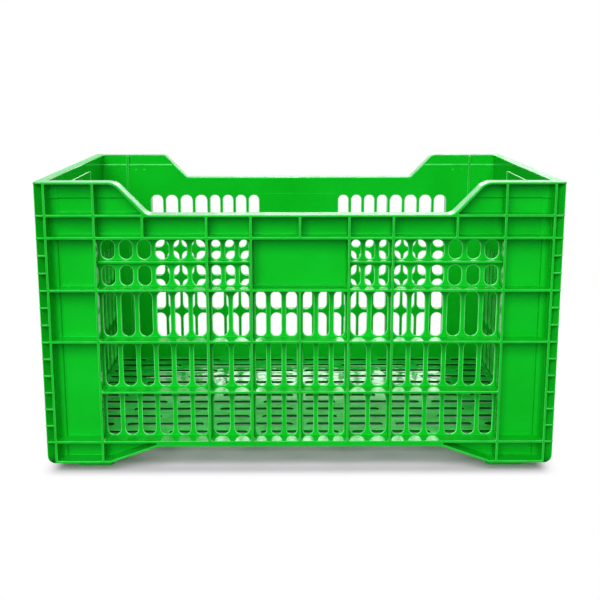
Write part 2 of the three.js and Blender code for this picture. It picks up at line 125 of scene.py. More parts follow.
# Slots
slot_end_share = 0.49  # radius of a slot's ends over its width
bar_width = 5.2
rear_bar_width = 4.1
slot_margin = 2.1
rear_slot_margin = 0.8
slot_below = 0.9
slot_above = 3.4
rear_slot_below = 2.3
rear_slot_above = 0.4
wall_slot = 13.4
rear_slot = 14.5
side_slot = 19
centre_slot = 11
side_rows = [EVEN, EVEN, EVEN, EVEN]
side_slotted_rows = 3
side_top_band = 57.3

# Long walls. Rows are heights from the bottom up, and bays are widths from the middle outward.
# The lowest blank_rows have no slots. The rib at short_level leaves out the corner bays, and the
# one at shallow_level is low. Blank is where the plain field over the middle ends. A shoulder is
# the raised end of the wall, and run and depth are the dip's slope beside it.
front_wall = {
    "name": "front",
    "turn": 0,
    "rows": [EVEN, EVEN, EVEN, 28, 26.8],
    "top_band": 24,
    "blank_rows": 0,
    "shallow_level": 4,
    "short_level": 1,
    "corner_bay": 49.6,
    "bays": [50.3, 45.2],
    "blank": 50.3,
    "slot": wall_slot,
    "centre_slot": centre_slot,
    "label_side_slot": 9.4,
    "margin": slot_margin,
    "bar": bar_width,
    "below": slot_below,
    "above": slot_above,
    "shoulder": 82.5,
    "run": 32,
    "top_radius": 18,
    "depth": rim_top - front_dip_high.z,
    "ridges": False,
}
rear_wall = {
    "name": "rear",
    "turn": math.pi,
    "rows": [17.5, EVEN, EVEN, 38.6, 37, 38.5],
    "top_band": 21.8,
    "blank_rows": 1,
    "shallow_level": None,
    "short_level": 2,
    "corner_bay": 61.3,
    "bays": [60, 60],
    "blank": 51,
    "slot": rear_slot,
    "centre_slot": rear_slot,
    "label_side_slot": rear_slot,
    "margin": rear_slot_margin,
    "bar": rear_bar_width,
    "below": rear_slot_below,
    "above": rear_slot_above,
    "shoulder": 93,
    "run": 28.7,
    "top_radius": 8,
    "depth": rim_top - rear_dip_high.z,
    "ridges": True,
}
label_rows = 2

# Floor slots
floor_row_pitch = 26.6
floor_slot_width = 10.5
floor_slot_length = 86
floor_bar = 14
floor_margin = 6

# Corner posts
rings_per_row = 3
post_groove = 0.5
post_recess = 14
post_corner = 0.6
ring_thick = 2
ring_edge = 0.7
toe = 8  # radius of the posts' lower ends

# Stacking pads and label plate
pad_corner = 6
pad_wall = 3
pad_edge = 1.5
pad_tuck = 0.5
label_corner = 2.5

# Finger pockets in the short walls
grip_depth = 0.8
grip_gap_corner = 4
pocket_corner = 5
pocket_edge = 1.2
upright_width = 2
upright_lift = 2
upright_depth = 1.2
upright_corner = 0.9
upright_edge = 0.8

# Beads along the ledges inside the long walls
bead_height = 2
bead_lift = 0.1
bead_depth = 0.8
bead_corner = 0.75
bead_edge = 0.7

# Upright ridges, small marks and shallow plate inside the rear wall
ridge_inset = 44
ridge_width = 3.5
ridge_depth = 2
mark_places = (204.3, 215)
mark_level = 292.7
mark_width = 2.6
mark_height = 1.6
mark_corner = 0.75
mark_depth = 0.4
mark_edge = 0.4
plate_rise = 0.5
plate_depth = 0.5
plate_edge = 0.4

# Rounded edges
slot_edge = 0.9
rib_edge = 0.6
rib_fillet = 0.8
floor_edge = 0.45
rim_edge = 1.05
cell_radius = 1.2
sheet_corner = 1
dip_bottom_radius = 10
cove_radius = 9
cove_fillet = 8
cove_step = 0.4
cove_corner = 0.2
cove_edge = 0.15
round_steps = 3
arc_steps = 6

# How strongly edges take the painted highlight, from 0 to 1
slot_highlight = 1
rib_highlight = 0.45
level_rim_highlight = 0.6
inner_highlight = 0.4


# Shader nodes
def object_place(tree):
    return tree.nodes.new("ShaderNodeTexCoord").outputs["Object"]


def noise(tree, vector, scale, detail):
    node = tree.nodes.new("ShaderNodeTexNoise")
    node.inputs["Scale"].default_value = scale
    node.inputs["Detail"].default_value = detail
    tree.links.new(vector, node.inputs["Vector"])
    return node.outputs["Fac"]


def remap(tree, value, before, after, interpolation="LINEAR"):
    node = tree.nodes.new("ShaderNodeMapRange")
    node.interpolation_type = interpolation
    ends = ("From Min", "From Max", "To Min", "To Max")
    for end, number in zip(ends, (*before, *after)):
        node.inputs[end].default_value = number
    tree.links.new(value, node.inputs["Value"])
    return node.outputs["Result"]


def combine(tree, operation, first, second):
    node = tree.nodes.new("ShaderNodeMath")
    node.operation = operation
    tree.links.new(first, node.inputs[0])
    tree.links.new(second, node.inputs[1])
    return node.outputs[0]


def on_vector(tree, operation, vector, other=(0, 0, 0), result="Vector"):
    node = tree.nodes.new("ShaderNodeVectorMath")
    node.operation = operation
    node.inputs[1].default_value = other
    tree.links.new(vector, node.inputs[0])
    return node.outputs[result]


def mix_colours(tree, share):
    """Node that mixes Color1 and Color2, with its colours still to be set."""
    node = tree.nodes.new("ShaderNodeMixRGB")
    tree.links.new(share, node.inputs["Fac"])
    return node


def mix_shaders(tree, share, first, second):
    node = tree.nodes.new("ShaderNodeMixShader")
    tree.links.new(share, node.inputs["Fac"])
    tree.links.new(first.outputs[0], node.inputs[1])
    tree.links.new(second.outputs[0], node.inputs[2])
    return node.outputs[0]


# Materials
plastic_index = 1.49
shine_tint = (0.03, 1, 0.15, 1)
cloud_detail = 5
wear_scale = 60
wear_detail = 6
grain_detail = 3
bump_height = 1 * MM
noise_range = (0.3, 0.7)  # what most of a noise lies in
worn_range = (0.3, 0.6)
highlight_range = (0.35, 1)  # share of the painted edge highlight that is left in the least and the most worn places of the wear noise


def plastic(name, deep, light, highlight_colour, roughness, grain, bumps, clouds=14, streaks=(1, 1, 1)):
    """Moulded plastic from deep to light, with a painted highlight along its rounded edges, and bumps from
    its grain.
    """
    material = bpy.data.materials.new(name)
    material.use_nodes = True
    tree = material.node_tree
    shader = tree.nodes["Principled BSDF"]
    shader.inputs["IOR"].default_value = plastic_index
    shader.inputs["Specular Tint"].default_value = shine_tint
    place = object_place(tree)

    tint = tree.nodes.new("ShaderNodeValToRGB")
    for stop, position, colour in zip(tint.color_ramp.elements, noise_range, (deep, light)):
        stop.position = position
        stop.color = colour
    tree.links.new(noise(tree, place, clouds, cloud_detail), tint.inputs["Fac"])

    # Painted highlight: a paler colour mixed in along rounded edges by a point attribute, broken into
    # patches by the wear noise
    wear = noise(tree, on_vector(tree, "MULTIPLY", place, streaks), wear_scale, wear_detail)
    edge_highlight = tree.nodes.new("ShaderNodeAttribute")
    edge_highlight.attribute_name = "edge_highlight"
    highlight_patches = remap(tree, wear, worn_range, highlight_range)
    painted_highlight = mix_colours(tree, combine(tree, "MULTIPLY", edge_highlight.outputs["Fac"], highlight_patches))
    painted_highlight.inputs["Color2"].default_value = highlight_colour
    tree.links.new(tint.outputs["Color"], painted_highlight.inputs["Color1"])
    tree.links.new(painted_highlight.outputs["Color"], shader.inputs["Base Color"])
    tree.links.new(remap(tree, wear, noise_range, roughness), shader.inputs["Roughness"])

    bump = tree.nodes.new("ShaderNodeBump")
    bump.inputs["Strength"].default_value = bumps
    bump.inputs["Distance"].default_value = bump_height
    tree.links.new(noise(tree, place, grain, grain_detail), bump.inputs["Height"])
    tree.links.new(bump.outputs["Normal"], shader.inputs["Normal"])
    return material


def scuff_front(material, depths, roughness):
    """Makes the worn front half of the crate rougher than its rear half, changing between two depths."""
    tree = material.node_tree
    socket = tree.nodes["Principled BSDF"].inputs["Roughness"]
    axes = tree.nodes.new("ShaderNodeSeparateXYZ")
    tree.links.new(object_place(tree), axes.inputs[0])
    scuffs = remap(tree, axes.outputs["Y"], depths, (roughness, 0))
    tree.links.new(combine(tree, "MAXIMUM", socket.links[0].from_socket, scuffs), socket)


deep_green = (0.0028, 0.39, 0.01, 1)
light_green = (0.004, 0.46, 0.015, 1)
# colour of the painted highlight along rounded edges
pale_green = (0.2, 1, 0.3, 1)
# colour of the painted highlight on the rim's top and slopes
rim_highlight_green = (0.17, 0.8, 0.28, 1)
deep_floor = (0.002, 0.33, 0.008, 1)
worn_floor = (0.02, 0.58, 0.07, 1)
deep_shade = (0.001, 0.05, 0.002, 1)
light_shade = (0.001, 0.08, 0.003, 1)
green = plastic(
    "green_plastic", deep_green, light_green, pale_green, roughness=(0.1, 0.2), grain=130, bumps=0.1
)
rim_green = plastic(
    "rim_plastic", deep_green, light_green, rim_highlight_green, roughness=(0.08, 0.28), grain=220, bumps=0.06
)
side_rim_green = plastic(
    "side_rim_plastic", deep_green, light_green, rim_highlight_green,
    roughness=(0.12, 0.6), grain=220, bumps=0.06, streaks=(6, 0.3, 1),
)
floor_green = plastic(
    "floor_plastic", deep_floor, worn_floor, pale_green,
    roughness=(0.05, 0.15), grain=80, bumps=1, clouds=45,
)
scuff_front(floor_green, depths=(-0.05, 0.03), roughness=0.55)
shaded_green = plastic(
    "shaded_plastic", deep_shade, light_shade, deep_green, roughness=(0.3, 0.4), grain=130, bumps=0.1
)


# Contours: lists of (u, v, normal u, normal v), counter-clockwise, with the normals out of the material
def angles(start, stop, steps):
    return [math.radians(start + (stop - start) * step / steps) for step in range(steps + 1)]


def rounded(corners, radii):
    """Contour of a polygon whose corners are rounded, by one radius or by one for each."""
    if not isinstance(radii, (list, tuple)):
        radii = [radii] * len(corners)
    contour = []
    for index, corner in enumerate(corners):
        corner = Vector(corner)
        come = (corner - Vector(corners[index - 1])).normalized()
        go = (Vector(corners[(index + 1) % len(corners)]) - corner).normalized()
        turn = math.atan2(come.x * go.y - come.y * go.x, come.dot(go))
        side = 1 if turn > 0 else -1
        radius = radii[index]
        start = corner - come * radius * math.tan(abs(turn) / 2)
        normal = Vector((come.y, -come.x))
        centre = start - normal * radius * side
        for step in range(arc_steps + 1):
            angle = turn * step / arc_steps
            nu = normal.x * math.cos(angle) - normal.y * math.sin(angle)
            nv = normal.x * math.sin(angle) + normal.y * math.cos(angle)
            contour.append((centre.x + nu * radius * side, centre.y + nv * radius * side, nu, nv))
    return contour


def rectangle(u0, u1, v0, v1):
    left, right = min(u0, u1), max(u0, u1)
    return [(left, v0), (right, v0), (right, v1), (left, v1)]


def slot(u0, u1, v0, v1):
    radius = slot_end_share * min(u1 - u0, v1 - v0)
    return rounded(rectangle(u0, u1, v0, v1), radius)


def hole(contour):
    return [(u, v, -nu, -nv) for u, v, nu, nv in reversed(contour)]


def mirrored(corners, side):
    return corners if side > 0 else [(-u, v) for u, v in reversed(corners)]


# Profiles: lists of (height w, inset, tilt of the normal), from the back of a sheet to its front
def back_edge(back, radius):
    return [
        (back + radius * (1 + math.sin(a)), radius * (1 - math.cos(a)), a)
        for a in angles(-90, 0, round_steps)
    ]


def front_edge(front, radius, turn=90):
    steps = round_steps * turn // 90
    return [
        (front - radius * (1 - math.sin(a)), radius * (1 - math.cos(a)), a)
        for a in angles(0, turn, steps)
    ]


def edge_profile(back, front, radius):
    return back_edge(back, radius) + front_edge(front, radius)


def rib_profile(back, front, radius, fillet):
    foot = [
        (back + fillet * (1 - math.cos(a)), fillet * (math.sin(a) - 1), math.pi / 2 - a)
        for a in angles(0, 90, round_steps)
    ]
    return [(back - rib_tuck, -fillet, 0)] + foot + front_edge(front, radius)


def cup_profile(bottom, top, wall, rounding):
    lip = wall / 2
    inside = [
        (bottom + wall + lip * (1 - math.sin(a)), wall + lip * (1 + math.cos(a)), a)
        for a in angles(180, 90, round_steps)
    ]
    return back_edge(bottom, rounding) + front_edge(top, lip, 180) + inside


# Places: a wall's axes are u along it, v up and w outward; a level's axes are the crate's own
def on_wall(turn):
    cosine = math.cos(turn)
    sine = math.sin(turn)
    return lambda u, v, w: Vector((u * cosine + w * sine, u * sine - w * cosine, v))


def on_level(u, v, w):
    return Vector((u, v, w))


class Body:
    """A piece in the making: points, their normals and faces."""

    def __init__(self, place, outline_highlight=rib_highlight, hole_highlight=rib_highlight):
        self.place = place
        self.outline_highlight = outline_highlight
        self.hole_highlight = hole_highlight
        self.points = []
        self.normals = []
        # share of the painted edge highlight at each point
        self.edges = []
        self.faces = []

    def ring(self, contour, w, inset, tilt, highlight_share=0):
        first = len(self.points)
        flat = math.cos(tilt)
        for u, v, nu, nv in contour:
            self.points.append(self.place(u - nu * inset, v - nv * inset, w))
            self.normals.append(self.place(nu * flat, nv * flat, math.sin(tilt)))
        # Painted highlight, strongest half way round a rounded edge
        edge_highlight = abs(math.sin(2 * tilt)) if inset > 0 else 0
        self.edges += [edge_highlight * highlight_share] * len(contour)
        return list(range(first, len(self.points)))

    def bridge(self, lower, upper):
        for index in range(len(lower)):
            after = (index + 1) % len(lower)
            self.faces.append((lower[index], lower[after], upper[after], upper[index]))

    def cap(self, contours, rings, inset, facing):
        flat = []
        loops = []
        for contour in contours:
            first = len(flat)
            flat += [Vector((u - nu * inset, v - nv * inset)) for u, v, nu, nv in contour]
            loops.append(list(range(first, len(flat))))
        ids = [index for ring in rings for index in ring]
        filled = geometry.delaunay_2d_cdt(flat, [], loops, INSIDE_WITH_HOLES, FILL_TOLERANCE)
        origins = filled[3]
        for face in filled[2]:
            order = face if facing > 0 else face[::-1]
            self.faces.append(tuple(ids[origins[index][0]] for index in order))

    def loft(self, contours, profile):
        stacks = []
        for index, contour in enumerate(contours):
            highlight_share = self.hole_highlight if index else self.outline_highlight
            stacks.append([self.ring(contour, *level, highlight_share) for level in profile])
        for stack in stacks:
            for lower, upper in zip(stack, stack[1:]):
                self.bridge(lower, upper)
        self.cap(contours, [stack[0] for stack in stacks], profile[0][1], -1)
        self.cap(contours, [stack[-1] for stack in stacks], profile[-1][1], 1)

    def stack(self, levels):
        """A loft through contours of one point count, each with its height and the tilt of its normals."""
        rings = [self.ring(contour, w, 0, tilt) for contour, w, tilt in levels]
        for lower, upper in zip(rings, rings[1:]):
            self.bridge(lower, upper)
        self.cap([levels[0][0]], [rings[0]], 0, -1)
        self.cap([levels[-1][0]], [rings[-1]], 0, 1)

    def sheet(self, outline, holes, back, front, radius):
        self.loft([outline] + [hole(path) for path in holes], edge_profile(back, front, radius))

    def piece(self, name, material, *nodes):
        mesh = bpy.data.meshes.new(name)
        mesh.from_pydata([point * MM for point in self.points], [], self.faces)
        mesh.polygons.foreach_set("use_smooth", [True] * len(mesh.polygons))
        mesh.normals_split_custom_set_from_vertices(self.normals)
        mesh.attributes.new("edge_highlight", "FLOAT", "POINT").data.foreach_set("value", self.edges)
        mesh.materials.append(material)
        made = bpy.data.objects.new(name, mesh)
        bpy.context.scene.collection.objects.link(made)
        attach(made, "root")
        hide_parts(*nodes)
        return made


# Rows and slots
def rib_levels(rows, top):
    """Heights of the level ribs, from the bottom rib to the top one."""
    fixed = sum(height for height in rows if height is not EVEN)
    share = (top - bottom_rib - fixed) / rows.count(EVEN)
    levels = [bottom_rib]
    for height in rows:
        levels.append(levels[-1] + (share if height is EVEN else height))
    return levels


def bay_slots(u0, u1, v0, v1, wanted, margin=slot_margin, bar=bar_width):
    """Slots of about the wanted width, side by side between two ribs."""
    start = u0 + half_rib + margin
    room = u1 - half_rib - margin - start
    count = max(1, round((room + bar) / (wanted + bar)))
    width = (room - (count - 1) * bar) / count
    lefts = [start + index * (width + bar) for index in range(count)]
    return [slot(left, left + width, v0, v1) for left in lefts]


def both_sides(paths):
    return paths + [[(-u, v, -nu, nv) for u, v, nu, nv in reversed(path)] for path in paths]


def dip_corners(wall, drop):
    """Upper and lower corner of the dip's slope, along a line that runs a drop below the rim's top."""
    bend = drop * math.tan(math.atan2(wall["depth"], wall["run"]) / 2)
    top = half_length - wall["shoulder"] + bend
    return (top, rim_top - drop), (top - wall["run"], rim_top - wall["depth"] - drop)


def sloped_cell(flat_end, slope, rib):
    """Corners of the field over a foot's slope, beside a foot's rib."""
    rise = arch_level - foot_level
    low = foot_level + rib_thick
    high = bottom_rib - half_rib
    start = flat_end + rib_thick * math.hypot(slope, rise) / rise
    low_end = start - slope * (low - foot_level) / rise
    high_end = start - slope * (high - foot_level) / rise
    return [(high_end, high), (low_end, low), (rib - half_rib, low), (rib - half_rib, high)]


# Hollow fillets between a rib's side and the skin
def cove(body, place, rib_side, direction, v0, v1, base):
    reach = cove_radius + 2 * cove_step
    corners = [
        (rib_side - direction * rib_tuck, base - rib_tuck),
        (rib_side + direction * reach, base - rib_tuck),
        (rib_side + direction * reach, base + cove_step),
        (rib_side + direction * cove_step, base + cove_step),
        (rib_side + direction * cove_step, base + reach),
        (rib_side - direction * rib_tuck, base + reach),
    ]
    radii = [cove_corner, cove_corner, cove_corner, cove_fillet, cove_corner, cove_corner]
    turned = [(u, -w) for u, w in corners]
    if direction > 0:
        turned.reverse()
        radii.reverse()
    body.place = lambda u, v, w: place(u, w, -v)
    body.sheet(rounded(turned, radii), [], v0, v1, cove_edge)
    body.place = place


# Long walls
def ridge_and_marks(body, side, bottom, top, inner, back):
    """An upright ridge and two small marks on the inside of a wall, near one of its ends."""
    body.outline_highlight = rib_highlight
    ridge = side * (half_length - ridge_inset)
    strip = rectangle(ridge - ridge_width / 2, ridge + ridge_width / 2, bottom, top)
    body.sheet(rounded(strip, sheet_corner), [], inner - ridge_depth, back, slot_edge)
    body.outline_highlight = slot_highlight
    for mark in mark_places:
        near = side * (mark - mark_width / 2)
        far = side * (mark + mark_width / 2)
        spot = rectangle(near, far, mark_level - mark_height / 2, mark_level + mark_height / 2)
        body.sheet(rounded(spot, mark_corner), [], inner - mark_depth, inner + lap, mark_edge)


def long_wall(wall):
    name = wall["name"]
    place = on_wall(wall["turn"])
    skin_outer = half_width - rib_depth
    skin_inner = half_width - skin_in
    end = half_length - post_groove
    bay_rib = corner_rib - wall["corner_bay"]
    bay_ribs = []
    for bay in wall["bays"]:
        bay_ribs.append((bay_ribs[-1] if bay_ribs else 0) + bay)
    dip_level = rim_top - wall["depth"]
    top_level = dip_level - wall["top_band"]
    levels = rib_levels(wall["rows"], top_level)
    first_label = len(wall["rows"]) - label_rows
    (slope_top, shoulder_v), (slope_foot, dip_v) = dip_corners(wall, rim_tuck)
    share = (ledge_level - dip_v) / (shoulder_v - dip_v)
    slope_ledge = slope_foot + (slope_top - slope_foot) * share

    # Slotted skin, set back above the inner ledge
    slots = []
    for row in range(wall["blank_rows"], len(wall["rows"])):
        v0 = levels[row] + half_rib + wall["below"]
        v1 = levels[row + 1] - half_rib - wall["above"]
        labelled = row >= first_label
        if not labelled:
            slots += bay_slots(0, bay_ribs[0], v0, v1, wall["centre_slot"], wall["margin"], wall["bar"])
        edges = ([wall["blank"]] if labelled else bay_ribs[:1]) + bay_ribs[1:] + [bay_rib]
        for index in range(len(bay_ribs)):
            wanted = wall["label_side_slot"] if labelled and index == 0 else wall["slot"]
            slots += bay_slots(edges[index], edges[index + 1], v0, v1, wanted, wall["margin"], wall["bar"])
    flat_end = half_length - long_foot
    slope_end = flat_end - long_foot_slope
    right = [
        (slope_end, arch_level),
        (flat_end, foot_level),
        (end, foot_level),
        (end, ledge_level),
        (slope_ledge, ledge_level),
        (slope_foot, dip_v),
    ]
    outline = right + [(-u, v) for u, v in reversed(right)]
    body = Body(place, 0, slot_highlight)
    body.sheet(rounded(outline, sheet_corner), both_sides(slots), skin_inner, skin_outer, slot_edge)
    set_back = skin_inner + ledge_step
    upper_foot = ledge_level - ledge_lap
    share = (upper_foot - dip_v) / (shoulder_v - dip_v)
    slope_upper = slope_foot + (slope_top - slope_foot) * share
    set_back_outer = set_back + skin
    upper_end = rim_top - rim_tuck
    for side in (-1, 1):
        corners = [(slope_upper, upper_foot), (end, upper_foot), (end, shoulder_v), (slope_top, shoulder_v)]
        body.sheet(rounded(mirrored(corners, side), sheet_corner), [], set_back, set_back_outer, slot_edge)
        rib_side = side * (corner_rib - half_rib)
        cove(body, place, rib_side, -side, foot_level + half_rib, upper_foot + lap, skin_outer)
        cove(body, place, rib_side, -side, upper_foot, upper_end, set_back_outer)
        body.outline_highlight = slot_highlight
        bead_top = ledge_level + bead_lift
        bead = rectangle(side * (slope_ledge + lap), side * end, ledge_level - bead_height, bead_top)
        body.sheet(rounded(bead, bead_corner), [], skin_inner - bead_depth, skin_inner + lap, bead_edge)
        body.outline_highlight = 0
    if wall["ridges"]:
        for side in (-1, 1):
            ridge_and_marks(body, side, levels[1], upper_end, skin_inner, set_back + rib_tuck)
        body.outline_highlight = 0
        plate_end = wall["blank"] - half_rib
        plate = rectangle(-plate_end, plate_end, levels[first_label], levels[-1] + plate_rise)
        body.sheet(rounded(plate, sheet_corner), [], skin_inner - plate_depth, skin_inner + lap, plate_edge)
    body.piece(f"{name}_skin", green, f"{name}_panel")

    # Ribs: one sheet with a cell for each field of the wall, feet and shoulders included
    rib_end = corner_rib + half_rib
    right = [
        (slope_end, arch_level),
        (flat_end, foot_level),
        (rib_end, foot_level),
        (rib_end, shoulder_v),
        (slope_top, shoulder_v),
        (slope_foot, dip_v),
    ]
    radii = [foot_bend, foot_bend, sheet_corner, sheet_corner]
    radii += [wall["top_radius"] - rim_tuck, dip_bottom_radius + rim_tuck]
    outline = rounded(right + [(-u, v) for u, v in reversed(right)], radii + radii[::-1])
    cells = []

    def cell(u0, u1, v0, v1):
        cells.append(rectangle(u0 + half_rib, u1 - half_rib, v0 + half_rib, v1 - half_rib))

    short_level = wall["short_level"]
    shoulder_rib = dip_level - rim_thick + half_rib
    rib_rows = list(zip(levels, levels[1:]))
    for row, (v0, v1) in enumerate(rib_rows):
        # Corner bay, where two rows share a cell beside the short and the shallow rib
        if row + 1 == short_level:
            cell(bay_rib, corner_rib, v0, levels[row + 2])
        elif row != short_level and row + 1 != wall["shallow_level"] and row != wall["shallow_level"]:
            cell(bay_rib, corner_rib, v0, v1)
        elif row == wall["shallow_level"]:
            cell(bay_rib, corner_rib, levels[row - 1], v1)
        # Other bays, beside the plain field in the rows that it crosses
        edges = (bay_ribs[:1] if row < first_label else [wall["blank"]]) + bay_ribs[1:] + [bay_rib]
        for left, far in zip(edges, edges[1:]):
            if row + 1 == wall["shallow_level"]:
                cell(left, far, v0, levels[row + 2])
            elif row != wall["shallow_level"]:
                cell(left, far, v0, v1)
        if row < first_label:
            cell(0, bay_ribs[0], v0, v1)
    # Band over the slots, shoulders and feet
    dip_rib = half_length - wall["shoulder"] - wall["run"] + dip_rib_offset
    band = sorted([0, wall["blank"], *bay_ribs[1:], dip_rib, bay_rib, corner_rib])
    for left, far in zip(band, band[1:]):
        if far - left > 2 * rib_thick:
            cell(left, far, top_level, shoulder_rib)
    cell(bay_rib, corner_rib, shoulder_rib, rim_under + half_rib)
    foot_rib = corner_rib - front_wall["corner_bay"]
    cell(foot_rib, corner_rib, foot_level + half_rib, bottom_rib)
    foot_cell = sloped_cell(flat_end, long_foot_slope, foot_rib)
    (inner_top, inner_top_v), (inner_foot, inner_foot_v) = dip_corners(wall, rim_thick)
    shoulder_low = shoulder_rib + half_rib
    share = (shoulder_low - inner_foot_v) / (inner_top_v - inner_foot_v)
    slope_low = inner_foot + (inner_top - inner_foot) * share
    shoulder_cell = [
        (slope_low + lap, shoulder_low),
        (bay_rib - half_rib, shoulder_low),
        (bay_rib - half_rib, inner_top_v),
        (inner_top, inner_top_v),
    ]
    holes = []
    for side in (-1, 1):
        for corners in cells + [foot_cell]:
            holes.append(rounded(mirrored(corners, side), cell_radius))
        radii = [cell_radius, cell_radius, cell_radius, wall["top_radius"] - rim_thick]
        holes.append(rounded(mirrored(shoulder_cell, side), radii if side > 0 else radii[::-1]))
    blank_end = wall["blank"] - half_rib
    label_cell = rectangle(-blank_end, blank_end, levels[first_label] + half_rib, top_level - half_rib)
    holes.append(rounded(label_cell, cell_radius))
    body = Body(place)
    profile = rib_profile(skin_outer, half_width, rib_edge, rib_fillet)
    body.loft([outline] + [hole(path) for path in holes], profile)
    if wall["shallow_level"] is not None:
        v = levels[wall["shallow_level"]]
        front = skin_outer + shallow_depth
        for side in (-1, 1):
            corners = rectangle(side * bay_ribs[0], side * bay_rib, v - half_rib, v + half_rib)
            body.sheet(rounded(corners, sheet_corner), [], skin_outer - tuck, front, rib_edge)
    nodes = [f"{name}_rib_grid"]
    for side in ("left", "right"):
        nodes += [f"{name}_{side}_shoulder", f"{name}_{side}_foot"]
    body.piece(f"{name}_ribs", green, *nodes)


long_wall(front_wall)
long_wall(rear_wall)


# Short walls
def short_wall(name, turn):
    place = on_wall(turn)
    skin_outer = half_length - rib_depth
    skin_inner = half_length - skin_in
    set_back = skin_inner + side_set_back
    set_back_outer = set_back + skin
    end = half_width - skin_in + tuck
    top_level = rim_top - side_top_band
    levels = rib_levels(side_rows, top_level)
    slots = []
    for row in range(side_slotted_rows):
        v0 = levels[row] + half_rib + slot_below
        v1 = levels[row + 1] - half_rib - slot_above
        slots += both_sides(bay_slots(side_bay_rib, side_corner_rib, v0, v1, side_slot))
        slots += bay_slots(-side_bay_rib, side_bay_rib, v0, v1, side_slot)
    flat_end = half_width - short_foot
    slope_end = flat_end - short_foot_slope
    right = [(slope_end, arch_level), (flat_end, foot_level), (end, foot_level), (end, side_panel_top)]
    outline = rounded(right + [(-u, v) for u, v in reversed(right)], sheet_corner)
    body = Body(place, 0, inner_highlight)
    body.sheet(outline, slots, skin_inner, skin_outer, slot_edge)

    # Ledge on the panel and the set-back strip over it, open where the finger pocket is
    shelf_top = side_panel_top + skin
    shelf = rounded(rectangle(-end, end, side_panel_top - slot_edge, shelf_top), sheet_corner)
    body.sheet(shelf, [], skin_inner, set_back_outer, slot_edge)
    gap_end = grip_end - skin
    grip_gap = rounded(rectangle(-gap_end, gap_end, shelf_top, ledge_level - skin), grip_gap_corner)
    strip_end = end + ledge_step
    top = rim_top - rim_tuck
    strip = rounded(rectangle(-strip_end, strip_end, side_panel_top, top), sheet_corner)
    body.sheet(strip, [grip_gap], set_back, set_back_outer, slot_edge)
    body.piece(f"{name}_skin", green, f"{name}_panel")

    # Ribs: the grid outside the panel, and the frame outside the strip
    rib_end = half_width - rib_depth + tuck
    edge_rib = rib_end + half_rib - tuck
    split = top_level + half_rib
    right = [(slope_end, arch_level), (flat_end, foot_level), (rib_end, foot_level), (rib_end, split)]
    radii = [foot_bend, foot_bend, sheet_corner, sheet_corner]
    outline = rounded(right + [(-u, v) for u, v in reversed(right)], radii + radii[::-1])

    def cell(u0, u1, v0, v1):
        return rectangle(u0 + half_rib, u1 - half_rib, v0 + half_rib, v1 - half_rib)

    def open_frame(border, cells, base):
        holes = [hole(rounded(corners, cell_radius)) for corners in cells]
        body.loft([border] + holes, rib_profile(base, half_length, rib_edge, rib_fillet))

    fields = [cell(side_corner_rib, edge_rib, foot_level + half_rib, bottom_rib)]
    fields.append(sloped_cell(flat_end, short_foot_slope, side_corner_rib))
    middles = []
    for v0, v1 in zip(levels, levels[1:]):
        fields.append(cell(side_corner_rib, edge_rib, v0, v1))
        fields.append(cell(side_bay_rib, side_corner_rib, v0, v1))
        middles.append(cell(-side_bay_rib, side_bay_rib, v0, v1))
    body = Body(place)
    fields = [mirrored(field, side) for field in fields for side in (-1, 1)]
    open_frame(outline, fields + middles, skin_outer)
    outline = rounded(rectangle(-rib_end, rib_end, side_panel_top - half_rib, top), sheet_corner)
    pocket_rib = grip_end + half_rib
    frame_top = rim_under + half_rib
    fields = [
        cell(side_corner_rib, edge_rib, side_panel_top, frame_top),
        cell(pocket_rib, side_corner_rib, side_panel_top, frame_top),
    ]
    fields = [mirrored(field, side) for field in fields for side in (-1, 1)]
    open_frame(outline, fields + [cell(-pocket_rib, pocket_rib, side_panel_top, frame_top)], set_back_outer)
    body.piece(f"{name}_ribs", green, f"{name}_rib_grid", f"{name}_front_shoulder", f"{name}_rear_shoulder")

    # Finger pocket: a shallow cup that opens outward, with an upright bead at each end of its back
    pocket_back = set_back - grip_depth
    pocket = rounded(rectangle(-grip_end, grip_end, side_panel_top, ledge_level), pocket_corner)
    body = Body(place)
    body.loft([pocket], cup_profile(pocket_back, set_back_outer, skin, pocket_edge))
    body.outline_highlight = slot_highlight
    for side in (-1, 1):
        near = side * (grip_end - upright_width)
        upright = rectangle(near, side * grip_end, side_panel_top + upright_lift, ledge_level)
        upright = rounded(upright, upright_corner)
        body.sheet(upright, [], pocket_back - upright_depth, set_back + lap, upright_edge)
    body.piece(f"{name}_pocket", green, f"{name}_grip")


short_wall("right", math.pi / 2)
short_wall("left", -math.pi / 2)


# Rim: one band round the crate that follows both dips
def rim_half(wall):
    """Points of the rim on one half of a long wall, from its middle to its corner: (u, height, tilt)."""
    (slope_top, top_v), (slope_foot, foot_v) = dip_corners(wall, 0)
    slope = math.atan2(wall["depth"], wall["run"])
    line = [(0, foot_v, 0), (slope_foot / 2, foot_v, 0)]
    reach = dip_bottom_radius * math.tan(slope / 2)
    for a in angles(0, math.degrees(slope), arc_steps):
        u = slope_foot - reach + dip_bottom_radius * math.sin(a)
        line.append((u, foot_v + dip_bottom_radius * (1 - math.cos(a)), a))
    radius = wall["top_radius"]
    reach = radius * math.tan(slope / 2)
    for a in angles(math.degrees(slope), 0, arc_steps):
        u = slope_top + reach - radius * math.sin(a)
        line.append((u, top_v - radius * (1 - math.cos(a)), a))
    line.append((half_length - corner_radius, top_v, 0))
    return line


